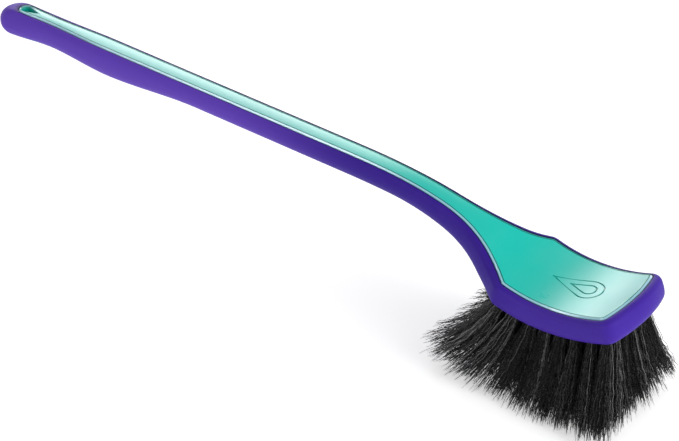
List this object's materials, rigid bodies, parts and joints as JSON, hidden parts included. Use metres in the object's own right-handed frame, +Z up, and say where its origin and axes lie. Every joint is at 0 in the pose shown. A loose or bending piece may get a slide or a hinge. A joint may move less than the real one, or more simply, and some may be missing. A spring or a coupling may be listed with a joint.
{
  "type": "wheel brush",
  "caption": "Long-handled wheel brush: rigid one-piece core, soft overmoulded grip and head rim, and fanned tufts stapled into a curved head; hang hole at the handle end.",
  "frame": {"origin": "centre of the whole brush's outline, on the plane its lowest bristle tips stand on", "axes": "+X along the handle towards the head, +Y across the head, +Z up from the bristle tips to the handle's face"},
  "size_m": [0.5126, 0.0914, 0.1049],
  "materials": {
    "core_plastic": "satin moulded polypropylene, lightly textured",
    "soft_grip": "soft-touch matt thermoplastic elastomer",
    "bristle": "crimped extruded filament with a soft shine",
    "staple_steel": "plain flat wire"
  },
  "bodies": {
    "root": {"handle_core": "core_plastic", "grip_overmould": "soft_grip", "tuft_r1_c1": "bristle", "tuft_r1_c2": "bristle", "tuft_r1_c3": "bristle", "tuft_r1_c4": "bristle", "tuft_r1_c5": "bristle", "tuft_r1_c6": "bristle", "staple_row_1": "staple_steel", "tuft_r2_c1": "bristle", "tuft_r2_c2": "bristle", "tuft_r2_c3": "bristle", "tuft_r2_c4": "bristle", "tuft_r2_c5": "bristle", "tuft_r2_c6": "bristle", "staple_row_2": "staple_steel", "tuft_r3_c1": "bristle", "tuft_r3_c2": "bristle", "tuft_r3_c3": "bristle", "tuft_r3_c4": "bristle", "tuft_r3_c5": "bristle", "tuft_r3_c6": "bristle", "staple_row_3": "staple_steel", "tuft_r4_c1": "bristle", "tuft_r4_c2": "bristle", "tuft_r4_c3": "bristle", "tuft_r4_c4": "bristle", "tuft_r4_c5": "bristle", "tuft_r4_c6": "bristle", "staple_row_4": "staple_steel", "tuft_r5_c1": "bristle", "tuft_r5_c2": "bristle", "tuft_r5_c3": "bristle", "tuft_r5_c4": "bristle", "tuft_r5_c5": "bristle", "tuft_r5_c6": "bristle", "staple_row_5": "staple_steel", "tuft_r6_c1": "bristle", "tuft_r6_c2": "bristle", "tuft_r6_c3": "bristle", "tuft_r6_c4": "bristle", "tuft_r6_c5": "bristle", "tuft_r6_c6": "bristle", "staple_row_6": "staple_steel", "tuft_r7_c1": "bristle", "tuft_r7_c2": "bristle", "tuft_r7_c3": "bristle", "tuft_r7_c4": "bristle", "tuft_r7_c5": "bristle", "tuft_r7_c6": "bristle", "staple_row_7": "staple_steel", "tuft_r8_c1": "bristle", "tuft_r8_c2": "bristle", "tuft_r8_c3": "bristle", "tuft_r8_c4": "bristle", "tuft_r8_c5": "bristle", "tuft_r8_c6": "bristle", "staple_row_8": "staple_steel"}
  },
  "joints": []
}
